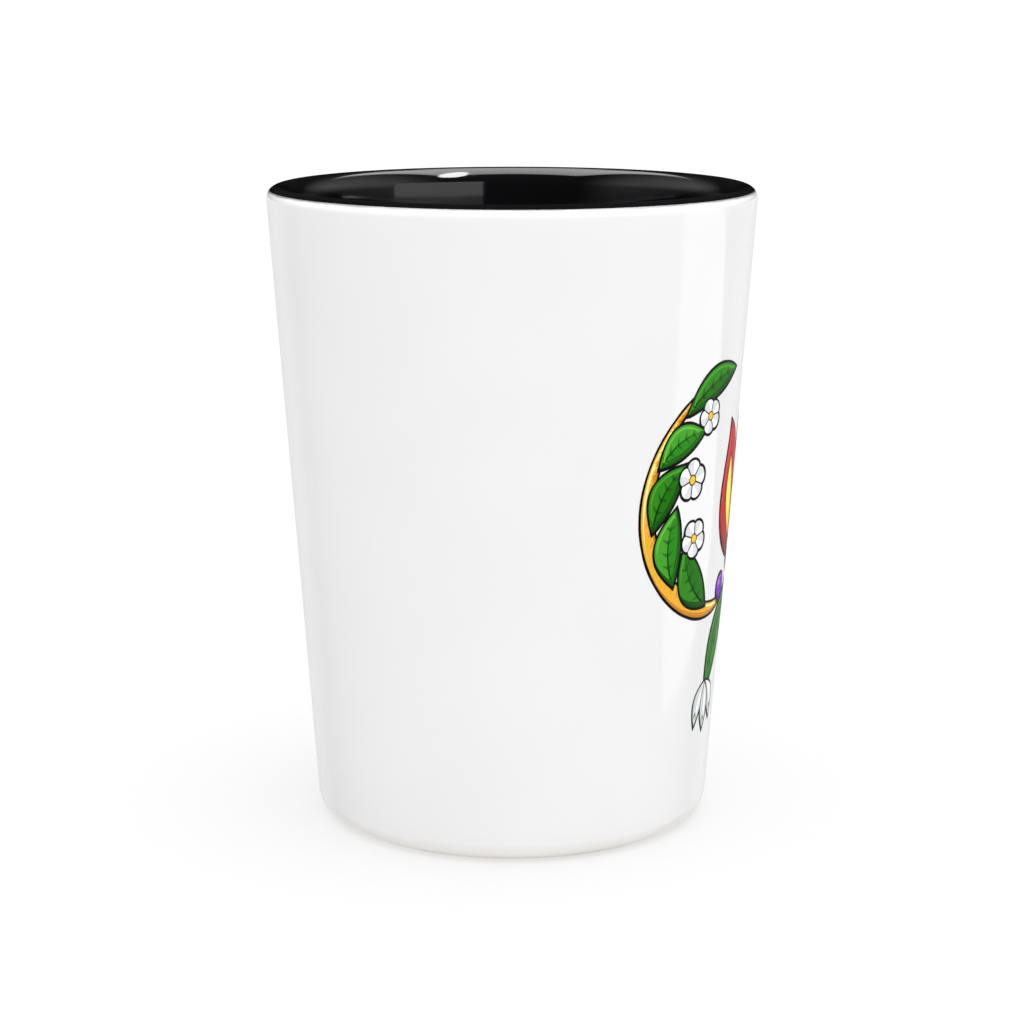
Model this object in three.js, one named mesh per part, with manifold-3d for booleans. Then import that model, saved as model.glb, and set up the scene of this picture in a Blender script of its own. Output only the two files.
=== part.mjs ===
// A ceramic shot glass: a tapered cup, glazed black inside and white outside, with a folk-art
// tulip in a leafy wreath printed on one side.  Millimetres, +Z up, origin at the middle of the
// foot, and the middle of the print faces +X.
import * as THREE from 'three';
import { mergeVertices } from 'three/addons/utils/BufferGeometryUtils.js';
import Module from 'manifold-3d';

const wasm = await Module();
wasm.setup();

// The cup.
const cupHeight = 60;
const rimRadius = 22.91; // where the slope of the outer wall meets the height of the rim
const baseRadius = 18.74; // where the slope of the outer wall meets the table
const rimWall = 2.05; // ceramic and both glazes, at the rim
const shoulderRadius = 1.1; // outer half of the round lip; the rest of the wall is its inner half
const baseCorner = 2.08;
const floorThickness = 5.5;
const bowlFloorRadius = 15.6; // where the slope of the inner wall meets the floor
const floorFillet = 4.5;
const footWidth = 3.5; // the flat bare ring that the cup stands on
const recessRound = 0.6; // both rounds of the step from the foot up into the recess

// The glazes.
const glazeThickness = 0.35;
const footGlazeGap = 0.35; // bare ceramic between the table and the white glaze
const seamAngle = THREE.MathUtils.degToRad(42); // where white meets black on the lip's outer round
const recessGlazeEdge = THREE.MathUtils.degToRad(225); // where the recess glaze ends on its round

// The print.
const printBottom = 9.6; // height of the lowest tip of the drawing
const printScale = 1; // size of the drawing
const outlineWidth = 0.32; // black that shows round each colour
const inkThickness = 0.1;
const inkClearance = 0.03; // under each layer of ink

// Fineness.
const meridians = 48; // flat facets round the cup
const cornerSteps = 4;
const lipSteps = 2;
const curveSteps = 5; // points on each curve of a drawn outline

const finishes = {
  bisque: { color: 0xe9e2d6, roughness: 0.85 },
  white_glaze: { color: 0xf4f4f4, roughness: 0.12 },
  black_glaze: { color: 0x060606, roughness: 0.08 },
  black_ink: { color: 0x0a0a0a, roughness: 0.2 },
  leaf_green: { color: 0x1d7a14, roughness: 0.2 },
  bright_green: { color: 0x32a032, roughness: 0.2 },
  gold_ink: { color: 0xebb946, roughness: 0.2 },
  white_ink: { color: 0xf2f2f2, roughness: 0.2 },
  red_ink: { color: 0xc01412, roughness: 0.2 },
  yellow_ink: { color: 0xe6ee50, roughness: 0.2 },
  purple_ink: { color: 0x7a18bc, roughness: 0.2 },
};

const glass = new THREE.Group();

function addPiece(name, geometry, finish) {
  const material = new THREE.MeshStandardMaterial({ metalness: 0, ...finishes[finish] });
  const mesh = new THREE.Mesh(geometry, material);
  mesh.name = name;
  glass.add(mesh);
}

// ---- The cup and its glazes
// The contour is drawn in a half plane, where x is the radius and y is the height.  Each stretch
// takes an inset, its depth under the finished surface: 0 on the glaze, glazeThickness on the
// ceramic below it.

function arc(centerX, centerY, radius, from, to, steps) {
  const points = [];
  for (let i = 0; i <= steps; i++) {
    const angle = from + ((to - from) * i) / steps;
    points.push(new THREE.Vector2(centerX + radius * Math.cos(angle), centerY + radius * Math.sin(angle)));
  }
  return points;
}

const down = -Math.PI / 2;
const up = Math.PI / 2;

// The outer wall is a straight slope, tangent to the base corner and to the lip.
const wallSlope = Math.atan((rimRadius - baseRadius) / cupHeight);
const wallRadiusAt = (height) => baseRadius + height * Math.tan(wallSlope);
const cornerX = wallRadiusAt(baseCorner) - baseCorner / Math.cos(wallSlope);
const shoulderY = cupHeight - shoulderRadius;
const lipX = wallRadiusAt(shoulderY) - shoulderRadius / Math.cos(wallSlope);
const whiteStart = -Math.asin(1 - footGlazeGap / baseCorner);

// The inner wall runs from the foot of the bowl to a tangent on the inner half of the lip.
const lipRadius = rimWall - shoulderRadius;
const lipY = cupHeight - lipRadius;
const toLip = new THREE.Vector2(lipX - bowlFloorRadius, lipY - floorThickness);
const bowlSlope = Math.atan2(toLip.x, toLip.y) - Math.asin(lipRadius / toLip.length());
const filletY = floorThickness + floorFillet;
const filletX = bowlFloorRadius + floorFillet * (Math.tan(bowlSlope) - 1 / Math.cos(bowlSlope));

const bareCorner = () => arc(cornerX, baseCorner, baseCorner, down, whiteStart, 1);

const outside = (inset) => [
  ...arc(cornerX, baseCorner, baseCorner - inset, whiteStart, -wallSlope, cornerSteps),
  ...arc(lipX, shoulderY, shoulderRadius - inset, -wallSlope, seamAngle, lipSteps),
];

const inside = (inset) => [
  ...arc(lipX, shoulderY, shoulderRadius - inset, seamAngle, up, lipSteps),
  ...arc(lipX, lipY, lipRadius - inset, up, Math.PI - bowlSlope, lipSteps + 1).slice(1),
  ...arc(filletX, filletY, floorFillet + inset, -bowlSlope, down, cornerSteps),
  new THREE.Vector2(0, floorThickness - inset),
];

// The recess under the cup steps up from the foot by one convex and one concave round.
const footInnerX = cornerX - footWidth;
const recessX = footInnerX - 2 * recessRound;

const bareFoot = () => arc(footInnerX, recessRound, recessRound, recessGlazeEdge, -down * 3, 1);

const recess = (inset) => [
  new THREE.Vector2(0, 2 * recessRound + inset),
  ...arc(recessX, recessRound, recessRound + inset, up, 0, lipSteps),
  ...arc(footInnerX, recessRound, recessRound - inset, Math.PI, recessGlazeEdge, 1).slice(1),
];

function lathe(profile) {
  const geometry = new THREE.LatheGeometry(profile, meridians);
  geometry.deleteAttribute('normal');
  geometry.deleteAttribute('uv');
  geometry.rotateX(up);
  return mergeVertices(geometry);
}

// A skin of glaze, between the finished surface and the ceramic.
function glaze(stretch) {
  const skin = [...stretch(0), ...stretch(glazeThickness).reverse()];
  return lathe(skin[0].x === 0 ? skin : [...skin, skin[0]]);
}

const bodyProfile = [
  ...recess(glazeThickness),
  ...bareFoot(),
  ...bareCorner(),
  ...outside(glazeThickness),
  ...inside(glazeThickness).slice(1),
];

addPiece('ceramic_body', lathe(bodyProfile), 'bisque');
addPiece('outer_white_glaze', glaze(outside), 'white_glaze');
addPiece('inner_black_glaze', glaze(inside), 'black_glaze');
addPiece('recess_glaze', glaze(recess), 'white_glaze');

// ---- The print
// It is drawn flat: x runs along the wall, to the right as the print is faced, and y is up.

const at = (x, y) => new THREE.Vector2(x, y);

const mirrored = (points) => points.map((p) => at(-p.x, p.y)).reverse();

// A pointed leaf from its base to its tip, with its spine bowed to the left by bow.
function leaf(base, tip, halfWidth, bow) {
  const along = tip.clone().sub(base).normalize();
  const left = at(-along.y, along.x);
  const middle = base.clone().add(tip).multiplyScalar(0.5);
  const leftPull = middle.clone().addScaledVector(left, 2 * (bow + halfWidth));
  const rightPull = middle.clone().addScaledVector(left, 2 * (bow - halfWidth));
  const shape = new THREE.Shape();
  shape.moveTo(base.x, base.y);
  shape.quadraticCurveTo(rightPull.x, rightPull.y, tip.x, tip.y);
  shape.quadraticCurveTo(leftPull.x, leftPull.y, base.x, base.y);
  return shape.getPoints(curveSteps).slice(0, -1);
}

// Five round petals about a middle.
function blossom(center, radius, turn) {
  const petals = 5;
  const pointsPerPetal = 4;
  const points = [];
  for (let i = 0; i < petals * pointsPerPetal; i++) {
    const lobe = 0.7 + 0.3 * Math.sqrt(Math.abs(Math.sin((Math.PI * i) / pointsPerPetal)));
    const angle = turn + (2 * Math.PI * i) / (petals * pointsPerPetal);
    points.push(center.clone().add(at(Math.cos(angle), Math.sin(angle)).multiplyScalar(radius * lobe)));
  }
  return points;
}

const disc = (center, radius) => arc(center.x, center.y, radius, 0, 2 * Math.PI, 2 * curveSteps).slice(0, -1);

// A closed outline from a start and a list of cubic curves, each two pulls and an end.
function drawn(start, curves) {
  const shape = new THREE.Shape();
  shape.moveTo(start[0], start[1]);
  for (const curve of curves) {
    shape.bezierCurveTo(...curve);
  }
  return shape.getPoints(curveSteps).slice(0, -1);
}

// The wreath follows a circle on each side, from the foot of the tulip out and up over it.
const wreathCenter = at(-9, 32.6);
const wreathRadius = 11.1;

function onWreath(radius, degrees) {
  const angle = THREE.MathUtils.degToRad(degrees);
  return at(wreathCenter.x + radius * Math.cos(angle), wreathCenter.y + radius * Math.sin(angle));
}

// The gold branch swells in its lower half and runs out at its upper end.
function branch() {
  const outer = [];
  const inner = [];
  const steps = 2 * curveSteps;
  for (let i = 0; i <= steps; i++) {
    const t = i / steps;
    const degrees = 282 - 172 * t;
    const halfWidth = 0.14 + 0.72 * Math.sin(Math.PI * Math.pow(t, 0.6)) ** 1.4;
    outer.push(onWreath(wreathRadius + halfWidth, degrees));
    inner.push(onWreath(wreathRadius - halfWidth, degrees));
  }
  return [...outer, ...inner.reverse()];
}

const leafAngles = [262, 226, 192, 160, 130]; // where each wreath leaf leaves the branch

function wreathLeaf(index) {
  const degrees = leafAngles[index];
  const length = 46 - 3 * index;
  const base = onWreath(wreathRadius - 0.5, degrees);
  const tip = index === leafAngles.length - 1 ? at(-7.2, 44) : onWreath(wreathRadius - 3.6, degrees - length);
  return leaf(base, tip, 1.75 - 0.1 * index, 0.9);
}

// Back to front.  Each colour is cut back by an outline's width where another lies over it.
const halfDrawing = [
  ['lower_leaf', 'leaf_green', leaf(at(-1, 22.8), at(-8.6, 12.9), 1.9, -1.4)],
  ['snowdrop_petal_1', 'white_ink', leaf(at(-8.7, 14.2), at(-10.7, 10.3), 0.85, -0.5)],
  ['snowdrop_petal_2', 'white_ink', leaf(at(-8.3, 14.2), at(-6.3, 10.3), 0.85, 0.5)],
  ['snowdrop_petal_3', 'white_ink', leaf(at(-8.5, 14), at(-8.4, 9.6), 0.85, 0)],
  ['gold_branch', 'gold_ink', branch()],
  ...leafAngles.map((_, i) => [`wreath_leaf_${i + 1}`, i % 2 ? 'bright_green' : 'leaf_green', wreathLeaf(i)]),
  ['blossom_1', 'white_ink', blossom(at(-13.6, 29), 1.75, 0.3)],
  ['blossom_2', 'white_ink', blossom(at(-14.5, 34.6), 1.85, 0.9)],
  ['blossom_3', 'white_ink', blossom(at(-12.3, 40.2), 1.6, 0.1)],
  ['berry', 'purple_ink', disc(at(-6.1, 22.9), 1.3)],
  ['outer_petal', 'red_ink', drawn([-0.6, 25.2], [
    [-5.4, 24.9, -8.7, 27.6, -8.3, 32],
    [-8, 34.8, -7, 36.8, -6.9, 39],
    [-4.6, 37.6, -2.9, 35.4, -2.2, 32.4],
    [-1.7, 30, -1.2, 27.6, -0.6, 25.2],
  ])],
  ['yellow_petal', 'yellow_ink', leaf(at(-3.9, 27.3), at(-5.9, 35.4), 1.15, 0.5)],
];

const middleDrawing = [
  ['stem', 'bright_green', drawn([-0.75, 25.6], [
    [-0.9, 20, -1.5, 14, 0, 10.6],
    [1.5, 14, 0.9, 20, 0.75, 25.6],
    [0.4, 25.9, -0.4, 25.9, -0.75, 25.6],
  ])],
  ['center_petal', 'red_ink', drawn([0, 25.4], [
    [-3.9, 28.4, -4.6, 34.6, 0, 40.4],
    [4.6, 34.6, 3.9, 28.4, 0, 25.4],
  ])],
  ['calyx', 'leaf_green', drawn([0, 23], [
    [-2.4, 23.4, -3.9, 25, -4.2, 27.4],
    [-2.9, 26.7, -1.9, 26.6, -1.2, 27.6],
    [-0.8, 28.4, -0.3, 29, 0, 29.6],
    [0.3, 29, 0.8, 28.4, 1.2, 27.6],
    [1.9, 26.6, 2.9, 26.7, 4.2, 27.4],
    [3.9, 25, 2.4, 23.4, 0, 23],
  ])],
];

const drawing = [middleDrawing[0]];
for (const [name, finish, outline] of halfDrawing) {
  drawing.push([`${name}_left`, finish, outline], [`${name}_right`, finish, mirrored(outline)]);
}
drawing.push(middleDrawing[1], middleDrawing[2]);

// The outline moved outwards, with its sharp corners blunted.
function grow(outline, distance) {
  const turn = Math.sign(THREE.ShapeUtils.area(outline));
  return outline.map((point, i) => {
    const before = outline[(i + outline.length - 1) % outline.length];
    const after = outline[(i + 1) % outline.length];
    const into = point.clone().sub(before).normalize();
    const out = after.clone().sub(point).normalize();
    const along = into.clone().add(out);
    const away = at(along.y, -along.x).multiplyScalar(turn);
    away.setLength(distance / Math.max(0.6, along.length() / 2));
    return point.clone().add(away);
  });
}

// Drawn points become places on the wall: x is scaled, and y is measured from the lowest tip.
const drawnBottom = Math.min(...drawing.flatMap(([, , outline]) => outline.map((p) => p.y)));
const placed = (outline) =>
  outline.map((p) => at(p.x * printScale, printBottom + (p.y - drawnBottom) * printScale));

function flatPlate(outline) {
  const shape = new THREE.Shape(outline);
  const geometry = new THREE.ExtrudeGeometry(shape, { depth: inkThickness, bevelEnabled: false });
  geometry.deleteAttribute('normal');
  geometry.deleteAttribute('uv');
  const merged = mergeVertices(geometry, 1e-5);
  const mesh = new wasm.Mesh({
    numProp: 3,
    vertProperties: merged.attributes.position.array,
    triVerts: new Uint32Array(merged.index.array),
  });
  return new wasm.Manifold(mesh);
}

// One facet of the cup's wall, measured along the wall where the drawing's scale is true.
const printRadius = wallRadiusAt(cupHeight / 2);
const facetWidth = (2 * Math.PI * printRadius) / meridians;

// Triangles cut along the edges of the wall's facets, so that a bent plate lies flat on each.
function cutAtFacets(triangles) {
  const cut = [];
  for (const triangle of triangles) {
    const xs = triangle.map((p) => p.x);
    const first = Math.floor(Math.min(...xs) / facetWidth + 1e-6);
    const last = Math.ceil(Math.max(...xs) / facetWidth - 1e-6);
    for (let k = first; k < last; k++) {
      const piece = keepSide(keepSide(triangle, k * facetWidth, 1), (k + 1) * facetWidth, -1);
      for (let i = 1; i + 1 < piece.length; i++) {
        cut.push({ facet: k, corners: [piece[0], piece[i], piece[i + 1]] });
      }
    }
    if (first >= last) {
      cut.push({ facet: first, corners: triangle });
    }
  }
  return cut;
}

// The part of a polygon beyond x = limit, towards side.
function keepSide(polygon, limit, side) {
  const kept = [];
  for (let i = 0; i < polygon.length; i++) {
    const a = polygon[i];
    const b = polygon[(i + 1) % polygon.length];
    const aIn = (a.x - limit) * side >= -1e-6;
    const bIn = (b.x - limit) * side >= -1e-6;
    if (aIn) {
      kept.push(a);
    }
    if (aIn !== bIn) {
      const [low, high] = a.x < b.x ? [a, b] : [b, a];
      const crossing = low.clone().lerp(high, (limit - low.x) / (high.x - low.x));
      crossing.x = limit;
      kept.push(crossing);
    }
  }
  return kept;
}

// A flat plate bent onto the wall, with its inner face lift above the glaze.
function bend(solid, lift) {
  const { vertProperties, triVerts, numProp } = solid.getMesh();
  const corner = (i) => new THREE.Vector3().fromArray(vertProperties, triVerts[i] * numProp);
  const triangles = [];
  for (let i = 0; i < triVerts.length; i += 3) {
    triangles.push([corner(i), corner(i + 1), corner(i + 2)]);
  }
  const positions = [];
  for (const { facet, corners } of cutAtFacets(triangles)) {
    for (const p of corners) {
      const radius = wallRadiusAt(p.y) + lift + p.z;
      const from = (2 * Math.PI * facet) / meridians;
      const to = (2 * Math.PI * (facet + 1)) / meridians;
      const share = p.x / facetWidth - facet;
      const x = radius * THREE.MathUtils.lerp(Math.cos(from), Math.cos(to), share);
      const y = radius * THREE.MathUtils.lerp(Math.sin(from), Math.sin(to), share);
      positions.push(x, y, p.y);
    }
  }
  const geometry = new THREE.BufferGeometry();
  geometry.setAttribute('position', new THREE.Float32BufferAttribute(positions, 3));
  return mergeVertices(geometry, 1e-4);
}

const underprintLift = inkClearance;
const colorLift = underprintLift + inkThickness + inkClearance;
const plates = drawing.map(([, , outline]) => flatPlate(placed(outline)));
const grownPlates = drawing.map(([, , outline]) => flatPlate(grow(placed(outline), outlineWidth)));

addPiece('black_underprint', bend(wasm.Manifold.union(grownPlates), underprintLift), 'black_ink');

drawing.forEach(([name, finish], i) => {
  const inFront = grownPlates.slice(i + 1);
  const visible = inFront.length ? plates[i].subtract(wasm.Manifold.union(inFront)) : plates[i];
  addPiece(name, bend(visible, colorLift), finish);
});

export default glass;
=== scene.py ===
import math
import bpy
import numpy as np
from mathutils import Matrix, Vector, noise
from mathutils.geometry import interpolate_bezier


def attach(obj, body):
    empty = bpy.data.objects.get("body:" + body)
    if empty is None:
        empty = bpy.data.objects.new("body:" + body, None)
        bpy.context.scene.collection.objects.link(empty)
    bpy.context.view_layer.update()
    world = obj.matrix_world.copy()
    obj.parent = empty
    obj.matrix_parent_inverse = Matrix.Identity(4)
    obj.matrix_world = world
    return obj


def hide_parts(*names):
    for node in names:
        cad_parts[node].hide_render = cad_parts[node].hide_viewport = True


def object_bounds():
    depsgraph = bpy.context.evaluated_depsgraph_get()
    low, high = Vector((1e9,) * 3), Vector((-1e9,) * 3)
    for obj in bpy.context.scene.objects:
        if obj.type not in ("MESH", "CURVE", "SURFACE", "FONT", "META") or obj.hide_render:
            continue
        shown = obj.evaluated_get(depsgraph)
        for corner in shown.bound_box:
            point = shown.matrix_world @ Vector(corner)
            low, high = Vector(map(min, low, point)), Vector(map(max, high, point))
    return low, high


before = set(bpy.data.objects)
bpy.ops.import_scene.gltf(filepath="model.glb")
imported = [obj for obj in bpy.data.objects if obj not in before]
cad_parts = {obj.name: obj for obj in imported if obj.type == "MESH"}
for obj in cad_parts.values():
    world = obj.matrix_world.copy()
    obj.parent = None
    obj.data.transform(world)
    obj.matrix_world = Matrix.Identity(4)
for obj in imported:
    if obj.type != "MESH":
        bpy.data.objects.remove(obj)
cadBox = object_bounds()
mm = 0.001

cup = {  # millimetres
    "height": cadBox[1].z / mm,
    "rimRadius": 22.91,  # where the slope of the outer wall meets the height of the rim
    "baseRadius": 18.74,  # where the slope of the outer wall meets the table
    "rimWall": 2.05,
    "shoulderRadius": 1.1,
    "crestRadius": 0.3,  # the lip's tight crest, between its outer round and its inner bevel
    "bevelRadius": 2.88,
    "bevelStart": 138,  # degrees, where the crest runs into the inner bevel
    "baseCorner": 2.08,
    "floorThickness": 5.5,
    "bowlFloorRadius": 15.6,
    "floorFillet": 4.5,
    "footWidth": 3.5,
    "recessRound": 0.6,
    "glaze": 0.35,
    "footGlazeGap": 0.35,
    "seamAngle": 42,
    "recessGlazeEdge": 225,
    "facets": 192,  # round the cup
    "smoothAngle": 35,
    "lineStep": 1.2,  # length of a facet along a straight stretch
    "arcStep": 6,  # degrees of a facet round a corner
}


# small helpers

def clearSelection():
    bpy.ops.object.select_all(action="DESELECT")


def pickOnly(piece):
    clearSelection()
    piece.select_set(True)
    bpy.context.view_layer.objects.active = piece


def editAll(piece):
    pickOnly(piece)
    bpy.ops.object.mode_set(mode="EDIT")
    bpy.ops.mesh.select_all(action="SELECT")


def applyModifier(piece, kind, **settings):
    pickOnly(piece)
    modifier = piece.modifiers.new(kind.lower(), kind)
    for key, value in settings.items():
        setattr(modifier, key, value)
    bpy.ops.object.modifier_apply(modifier=modifier.name)


def finishPiece(piece, material, slot, *nodes):
    piece.data.materials.clear()
    piece.data.materials.append(material)
    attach(piece, "root")
    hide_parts(*nodes)


# node building

class Nodes:
    def __init__(self, tree):
        self.tree = tree

    def add(self, kind, inputs=(), **settings):
        node = self.tree.nodes.new(kind)
        for key, value in settings.items():
            setattr(node, key, value)
        for key, value in dict(inputs).items():
            self.feed(node.inputs[key], value)
        return node

    def feed(self, socket, value):
        if isinstance(value, bpy.types.NodeSocket):
            self.tree.links.new(value, socket)
        else:
            socket.default_value = value

    def math(self, operation, a, b=0.0):
        return self.add("ShaderNodeMath", {0: a, 1: b}, operation=operation).outputs[0]

    def plus(self, a, b):
        return self.math("ADD", a, b)

    def minus(self, a, b):
        return self.math("SUBTRACT", a, b)

    def times(self, a, b):
        return self.math("MULTIPLY", a, b)

    def absolute(self, value):
        return self.math("ABSOLUTE", value)

    def distance(self, a, b):
        return self.add("ShaderNodeVectorMath", {0: a, 1: b}, operation="DISTANCE").outputs["Value"]

    def split(self, vector):
        return self.add("ShaderNodeSeparateXYZ", {"Vector": vector}).outputs[:]

    def fade(self, value, low, high, lowOut=0.0, highOut=1.0):
        limits = {"Value": value, "From Min": low, "From Max": high, "To Min": lowOut, "To Max": highOut}
        return self.add("ShaderNodeMapRange", limits, interpolation_type="SMOOTHSTEP").outputs[0]

    def ramp(self, value, stops):  # grays between the stops, each a place and a level
        node = self.add("ShaderNodeValToRGB", {"Fac": value})
        elements = node.color_ramp.elements
        while len(elements) < len(stops):
            elements.new(0.5)
        for element, (place, level) in zip(elements, stops):
            element.position = place
            element.color = (level, level, level, 1)
        return node.outputs["Color"]

    def mix(self, share, a, b):
        node = self.add("ShaderNodeMix", data_type="RGBA")
        self.feed(node.inputs["Factor"], share)
        self.feed(node.inputs["A"], a)
        self.feed(node.inputs["B"], b)
        return node.outputs["Result"]


def newMaterial(name):
    material = bpy.data.materials.new(name)
    material.use_nodes = True
    material.node_tree.nodes.clear()
    return material, Nodes(material.node_tree)


def closeMaterial(nodes, **inputs):
    shader = nodes.add("ShaderNodeBsdfPrincipled")
    for key, value in inputs.items():
        nodes.feed(shader.inputs[key.replace("_", " ")], value)
    nodes.add("ShaderNodeOutputMaterial", {"Surface": shader.outputs[0]})


def linear(red, green, blue):  # screen colour, 0 to 255, to a shader's colour
    shares = [c / 255 for c in (red, green, blue)]
    return tuple(c / 12.92 if c <= 0.04045 else ((c + 0.055) / 1.055) ** 2.4 for c in shares)


def newGroup(name, inputs, outputs):
    tree = bpy.data.node_groups.new(name, "ShaderNodeTree")
    for label, value in inputs.items():
        socket = tree.interface.new_socket(name=label, in_out="INPUT", socket_type="NodeSocketFloat")
        socket.default_value = value
    for label, kind in outputs.items():
        tree.interface.new_socket(name=label, in_out="OUTPUT", socket_type=kind)
    nodes = Nodes(tree)
    return nodes, nodes.add("NodeGroupInput"), nodes.add("NodeGroupOutput")


def useGroup(nodes, name, **inputs):
    node = nodes.add("ShaderNodeGroup", node_tree=bpy.data.node_groups[name])
    for key, value in inputs.items():
        nodes.feed(node.inputs[key], value)
    return node.outputs


# the soft unevenness of a fired glaze: long waves, fine ripple and a few pinholes

def makeGlazeSkin():
    nodes, given, result = newGroup(
        "glazeSkin", {"waves": 1.0, "pinholes": 1.0},
        {name: "NodeSocketFloat" for name in ("Height", "Tone", "Pits")})
    place = nodes.add("ShaderNodeTexCoord").outputs["Object"]
    long = nodes.add("ShaderNodeTexNoise", {"Vector": place, "Scale": 90, "Detail": 1, "Roughness": 0.4})
    fine = nodes.add("ShaderNodeTexNoise", {"Vector": place, "Scale": 700, "Detail": 2, "Roughness": 0.5})
    waves = nodes.times(long.outputs["Fac"], given.outputs["waves"])
    ripple = nodes.times(fine.outputs["Fac"], 0.06)
    cells = nodes.add("ShaderNodeTexVoronoi", {"Vector": place, "Scale": 260, "Randomness": 1}, feature="F1")
    chance = nodes.add("ShaderNodeSeparateColor", {"Color": cells.outputs["Color"]}).outputs[0]
    pick = nodes.fade(chance, 0.955, 0.96)  # one cell in twenty or so
    hole = nodes.fade(cells.outputs["Distance"], 0.03, 0.07, 1.0, 0.0)
    pits = nodes.times(nodes.times(pick, hole), given.outputs["pinholes"])
    height = nodes.minus(nodes.plus(waves, ripple), nodes.times(pits, 0.4))
    nodes.feed(result.inputs["Height"], height)
    nodes.feed(result.inputs["Tone"], long.outputs["Fac"])
    nodes.feed(result.inputs["Pits"], pits)


makeGlazeSkin()


# the outside: white glaze, warmer where it thins at the foot and lighter there as painted light against the
# shade on the foot's round, greyed where the black runs over it

whiteGlazeLook = {
    "white": linear(232, 232, 233),
    # warmer for the thin glaze at the foot, and lighter than the white as painted light where the foot's
    # round and the recess edge lie in shade
    "thin": linear(246, 244, 240),
    "seam": linear(120, 120, 122),
    "pinhole": linear(214, 210, 204),
    "ior": 1.5,
    "roughness": 0.05,
    "footThinAndLitFade": (0.6, 2.2),  # heights over which the thin glaze and its painted light fade out
    "recessThinAndLitFade": (0.1, 0.5),  # and in the recess
    "wander": 0.5,  # how unevenly its edges run
    "seamFade": 0.22,  # distance below the seam
    "waveHeight": 0.02,
}


def makeWhiteGlaze(name, footThinAndLitFade):
    look = whiteGlazeLook
    material, nodes = newMaterial(name)
    place = nodes.add("ShaderNodeTexCoord").outputs["Object"]
    height = nodes.split(place)[2]
    skin = useGroup(nodes, "glazeSkin", waves=1.0, pinholes=1.0)
    wander = nodes.add("ShaderNodeTexNoise", {"Vector": place, "Scale": 350, "Detail": 3})
    wander = nodes.times(nodes.minus(wander.outputs["Fac"], 0.5), look["wander"] * mm)
    # the foot band: thin glaze's warmer tone plus painted light against the shade there, fading out upward
    thin = nodes.fade(nodes.plus(height, wander), footThinAndLitFade[0] * mm, footThinAndLitFade[1] * mm, 1.0, 0.0)
    seamHeight = (seamPoint[1] - 0.02) * mm
    below = nodes.minus(seamHeight, nodes.plus(height, nodes.times(wander, 0.35)))
    seam = nodes.fade(below, 0.0, look["seamFade"] * mm, 0.9, 0.0)
    tone = nodes.fade(skin["Tone"], 0.3, 0.7, 0.985, 1.0)
    white = nodes.mix(thin, (*look["white"], 1), (*look["thin"], 1))
    white = nodes.mix(seam, white, (*look["seam"], 1))
    white = nodes.mix(skin["Pits"], white, (*look["pinhole"], 1))
    toned = nodes.add("ShaderNodeVectorMath", {0: white}, operation="SCALE")
    nodes.feed(toned.inputs["Scale"], tone)
    rough = nodes.plus(nodes.times(skin["Tone"], 0.04), look["roughness"])
    relief = {"Strength": 1.0, "Distance": look["waveHeight"] * mm, "Height": skin["Height"]}
    bump = nodes.add("ShaderNodeBump", relief)
    closeMaterial(nodes, Base_Color=toned.outputs[0], Roughness=rough, IOR=look["ior"],
                  Normal=bump.outputs[0])
    return material


# the inside: black glaze, poured, so a little thicker and glossier

blackGlazeLook = {
    "black": linear(10, 10, 11),
    "thick": linear(14, 14, 16),
    "ior": 1.5,
    "roughness": 0.05,
    "waveHeight": 0.02,
}


def makeBlackGlaze():
    look = blackGlazeLook
    material, nodes = newMaterial("blackGlaze")
    skin = useGroup(nodes, "glazeSkin", waves=1.0, pinholes=0.6)
    tone = nodes.fade(skin["Tone"], 0.3, 0.7)
    black = nodes.mix(tone, (*look["black"], 1), (*look["thick"], 1))
    rough = nodes.plus(nodes.times(skin["Tone"], 0.03), look["roughness"])
    relief = {"Strength": 1.0, "Distance": look["waveHeight"] * mm, "Height": skin["Height"]}
    bump = nodes.add("ShaderNodeBump", relief)
    closeMaterial(nodes, Base_Color=black, Roughness=rough, IOR=look["ior"], Normal=bump.outputs[0])
    return material


# bare fired ceramic at the foot: fine grain, a few dark specks, greyed where it has stood

bisqueLook = {
    "clay": linear(233, 226, 214),
    "worn": linear(205, 196, 182),
    "speck": linear(120, 98, 78),
    "roughness": (0.75, 0.95),
    "grainHeight": 0.06,
}


def makeBisque():
    look = bisqueLook
    material, nodes = newMaterial("bisque")
    place = nodes.add("ShaderNodeTexCoord").outputs["Object"]
    grain = nodes.add("ShaderNodeTexNoise", {"Vector": place, "Scale": 2600, "Detail": 5, "Roughness": 0.7})
    patch = nodes.add("ShaderNodeTexNoise", {"Vector": place, "Scale": 160, "Detail": 3})
    cells = nodes.add("ShaderNodeTexVoronoi", {"Vector": place, "Scale": 900})
    chance = nodes.add("ShaderNodeSeparateColor", {"Color": cells.outputs["Color"]}).outputs[0]
    pick = nodes.fade(chance, 0.93, 0.94)
    speck = nodes.times(pick, nodes.fade(cells.outputs["Distance"], 0.12, 0.3, 0.8, 0.0))
    clay = nodes.mix(nodes.fade(patch.outputs["Fac"], 0.4, 0.65), (*look["clay"], 1), (*look["worn"], 1))
    clay = nodes.mix(nodes.fade(grain.outputs["Fac"], 0.35, 0.7, 0.0, 0.25), clay, (*look["worn"], 1))
    clay = nodes.mix(speck, clay, (*look["speck"], 1))
    rough = nodes.fade(grain.outputs["Fac"], 0.3, 0.7, *look["roughness"])
    relief = {"Strength": 0.6, "Distance": look["grainHeight"] * mm, "Height": grain.outputs["Fac"]}
    bump = nodes.add("ShaderNodeBump", relief)
    closeMaterial(nodes, Base_Color=clay, Roughness=rough, Normal=bump.outputs[0])
    return material


# the cup's contour, in a half plane: x is the radius, z the height.  An arc is x, z, radius,
# start and end in degrees, and a point is an arc of no radius.  Inset is the depth under the glaze.

slope = math.degrees(math.atan((cup["rimRadius"] - cup["baseRadius"]) / cup["height"]))


def wallRadius(z):
    return cup["baseRadius"] + z * math.tan(math.radians(slope))


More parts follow.
